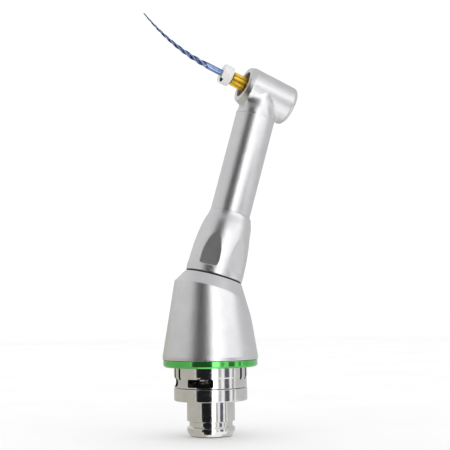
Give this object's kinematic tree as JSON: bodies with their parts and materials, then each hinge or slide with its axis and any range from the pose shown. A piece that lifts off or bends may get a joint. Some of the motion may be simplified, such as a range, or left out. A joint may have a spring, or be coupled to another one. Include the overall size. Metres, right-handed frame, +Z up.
{
  "type": "contra angle handpiece",
  "caption": "Bent dental reduction handpiece with a push-button head holding a rotary root canal file, and a steel motor coupling with a green colour ring.",
  "frame": {"origin": "coupling axis at the underside of the seat flange, where the motor meets it", "axes": "+Z up the coupling axis, +X towards the side the file points to, neck leaning towards -X in the XZ plane"},
  "size_m": [0.0345, 0.02, 0.0885],
  "materials": {
    "satin_housing": "fine satin, bead blasted",
    "polished_steel": "turned and polished",
    "gear_steel": "ground",
    "bearing_steel": "polished",
    "bronze": "turned",
    "green_ring": "green anodised, glossy",
    "seal_rubber": "matt",
    "gold_handle": "gold coloured, satin",
    "blue_alloy": "blue heat-treated nickel titanium",
    "white_silicone": "matt, slightly translucent",
    "black_mark": "printed"
  },
  "bodies": {
    "coupling": {"coupling_spigot": "polished_steel", "seat_flange": "polished_steel", "coupling_sleeve": "polished_steel", "sleeve_snap_ring": "gear_steel", "bearing_plate": "satin_housing", "input_bush": "bronze", "input_bearing_outer_race": "bearing_steel"},
    "housing": {"cone_body": "satin_housing", "swivel_bush": "bronze", "colour_ring": "green_ring", "seam_o_ring": "seal_rubber", "grip_sleeve": "satin_housing", "neck_head_shell": "satin_housing", "head_back_cap": "satin_housing", "front_bearing_shield": "bronze", "ring_gear": "gear_steel", "bearing_holder": "satin_housing", "carrier_bearing_outer_race": "bearing_steel", "neck_bush": "bronze", "neck_bearing_outer_race": "bearing_steel", "front_bearing_outer_race": "bearing_steel", "rear_bearing_outer_race": "bearing_steel", "button_spring": "gear_steel"},
    "input_drive": {"input_shaft": "gear_steel", "drive_dog": "gear_steel", "sun_gear": "gear_steel", "input_bearing_inner_race": "bearing_steel", "input_bearing_ball_cage": "bronze"},
    "carrier": {"planet_carrier": "gear_steel", "bend_drive_gear": "gear_steel", "carrier_bearing_inner_race": "bearing_steel", "carrier_bearing_ball_cage": "bronze"},
    "planet_1": {"planet_gear_1": "gear_steel"},
    "planet_2": {"planet_gear_2": "gear_steel"},
    "planet_3": {"planet_gear_3": "gear_steel"},
    "neck_drive": {"neck_shaft": "gear_steel", "bend_driven_gear": "gear_steel", "neck_pinion": "gear_steel", "neck_bearing_inner_race": "bearing_steel", "neck_bearing_ball_cage": "bronze"},
    "chuck": {"chuck_spindle": "polished_steel", "chuck_collet": "gear_steel", "shank_drive_key": "gear_steel", "crown_gear": "gear_steel", "front_bearing_inner_race": "bearing_steel", "front_bearing_ball_cage": "bronze", "rear_bearing_inner_race": "bearing_steel", "rear_bearing_ball_cage": "bronze"},
    "button": {"push_button": "satin_housing"},
    "file": {"file_shank": "polished_steel", "file_handle": "gold_handle", "file_blade": "blue_alloy"},
    "file_stopper": {"stopper": "white_silicone", "stopper_mark": "black_mark"}
  },
  "joints": [
    {"name": "housing_swivel", "type": "hinge", "parent": "coupling", "child": "housing", "pos_m": [0, 0, 0.009], "axis": [0, 0, 1], "continuous": true},
    {"name": "input_spin", "type": "hinge", "parent": "housing", "child": "input_drive", "pos_m": [0, 0, 0.005], "axis": [0, 0, 1], "continuous": true},
    {"name": "carrier_spin", "type": "hinge", "parent": "housing", "child": "carrier", "pos_m": [0, 0, 0.018], "axis": [0, 0, 1], "continuous": true},
    {"name": "planet_1_spin", "type": "hinge", "parent": "carrier", "child": "planet_1", "pos_m": [0.0036, 0, 0.013], "axis": [0, 0, 1], "continuous": true},
    {"name": "planet_2_spin", "type": "hinge", "parent": "carrier", "child": "planet_2", "pos_m": [-0.0018, 0.00312, 0.013], "axis": [0, 0, 1], "continuous": true},
    {"name": "planet_3_spin", "type": "hinge", "parent": "carrier", "child": "planet_3", "pos_m": [-0.0018, -0.00312, 0.013], "axis": [0, 0, 1], "continuous": true},
    {"name": "neck_spin", "type": "hinge", "parent": "housing", "child": "neck_drive", "pos_m": [0, 0, 0.0225], "axis": [-0.2798, 0, 0.96], "continuous": true},
    {"name": "chuck_spin", "type": "hinge", "parent": "housing", "child": "chuck", "pos_m": [-0.01254, 0, 0.06551], "axis": [0.9188, 0, 0.3947], "continuous": true},
    {"name": "button_press", "type": "slide", "parent": "housing", "child": "button", "axis": [0.9188, 0, 0.3947], "range_m": [0, 0.0005], "stiffness_N_per_m": 1000, "springref_m": -0.001, "deforming": ["button_spring"]},
    {"name": "file_slide", "type": "slide", "parent": "chuck", "child": "file", "axis": [0.9188, 0, 0.3947], "range_m": [0, 0.0095]},
    {"name": "stopper_slide", "type": "slide", "parent": "file", "child": "file_stopper", "axis": [0.9188, 0, 0.3947], "range_m": [0, 0.0035]}
  ],
  "couplings": [
    {"joint": "carrier_spin", "follows": "input_spin", "ratio": 0.25},
    {"joint": "planet_1_spin", "follows": "input_spin", "ratio": -0.75},
    {"joint": "planet_2_spin", "follows": "input_spin", "ratio": -0.75},
    {"joint": "planet_3_spin", "follows": "input_spin", "ratio": -0.75},
    {"joint": "neck_spin", "follows": "input_spin", "ratio": 0.25},
    {"joint": "chuck_spin", "follows": "input_spin", "ratio": -0.16071}
  ]
}
